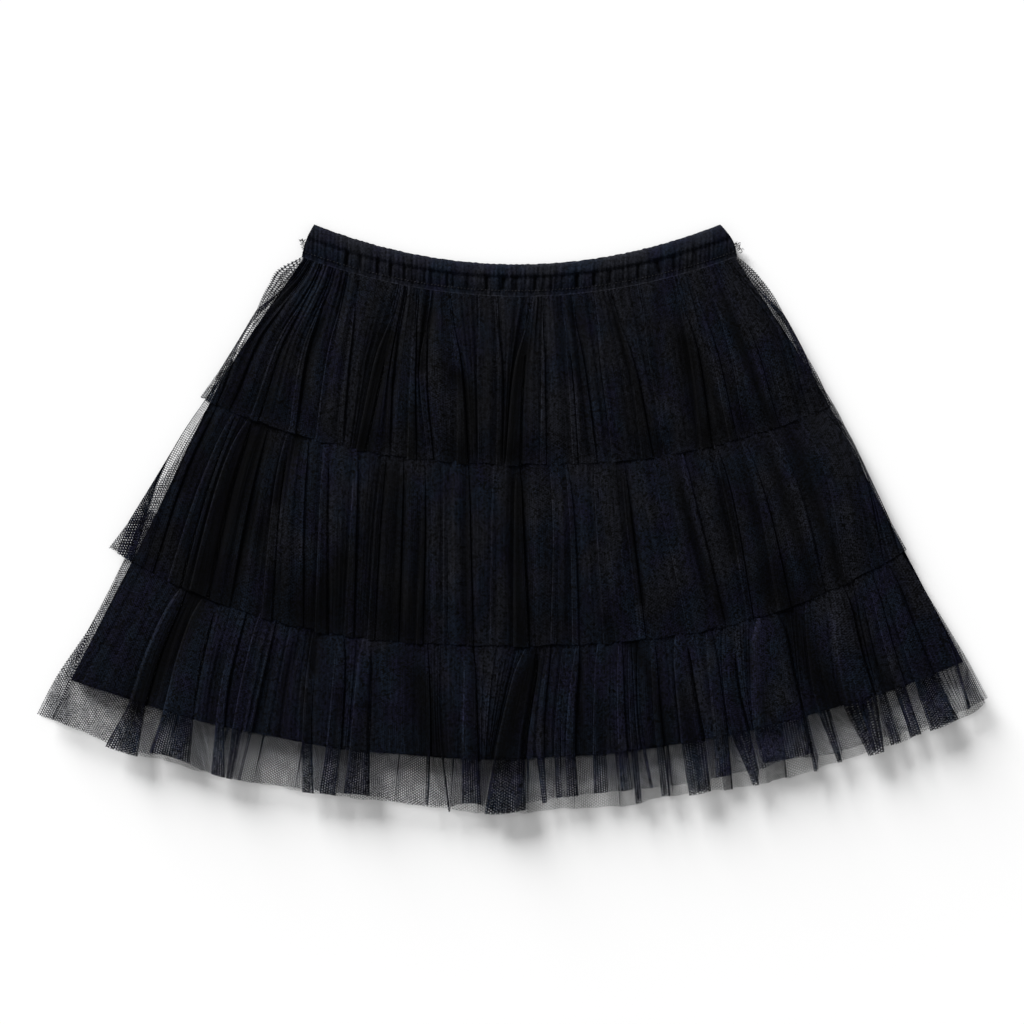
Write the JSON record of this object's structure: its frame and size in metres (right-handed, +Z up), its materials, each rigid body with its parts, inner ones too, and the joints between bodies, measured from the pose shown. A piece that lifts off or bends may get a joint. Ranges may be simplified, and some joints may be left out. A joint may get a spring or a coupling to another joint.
{
  "type": "tulle skirt",
  "caption": "Short gathered tulle skirt in tiers over an opaque knit lining, with an elastic waistband, laid flat on its back.",
  "frame": {"origin": "on the floor under the middle of the skirt's box", "axes": "+Z up out of the front of the skirt, +Y towards the waist, +X towards the picture's right"},
  "size_m": [0.7276, 0.4536, 0.0118],
  "materials": {
    "tulle": "matte",
    "lining_knit": "matte",
    "sewing_thread": "satin"
  },
  "bodies": {
    "root": {"waistband_back": "tulle", "waistband_front": "tulle", "tier_1_back": "tulle", "tier_2_back": "tulle", "tier_3_back": "tulle", "lining_back": "lining_knit", "lining_front": "lining_knit", "tier_3_front": "tulle", "tier_2_front": "tulle", "tier_1_front": "tulle"}
  },
  "joints": []
}
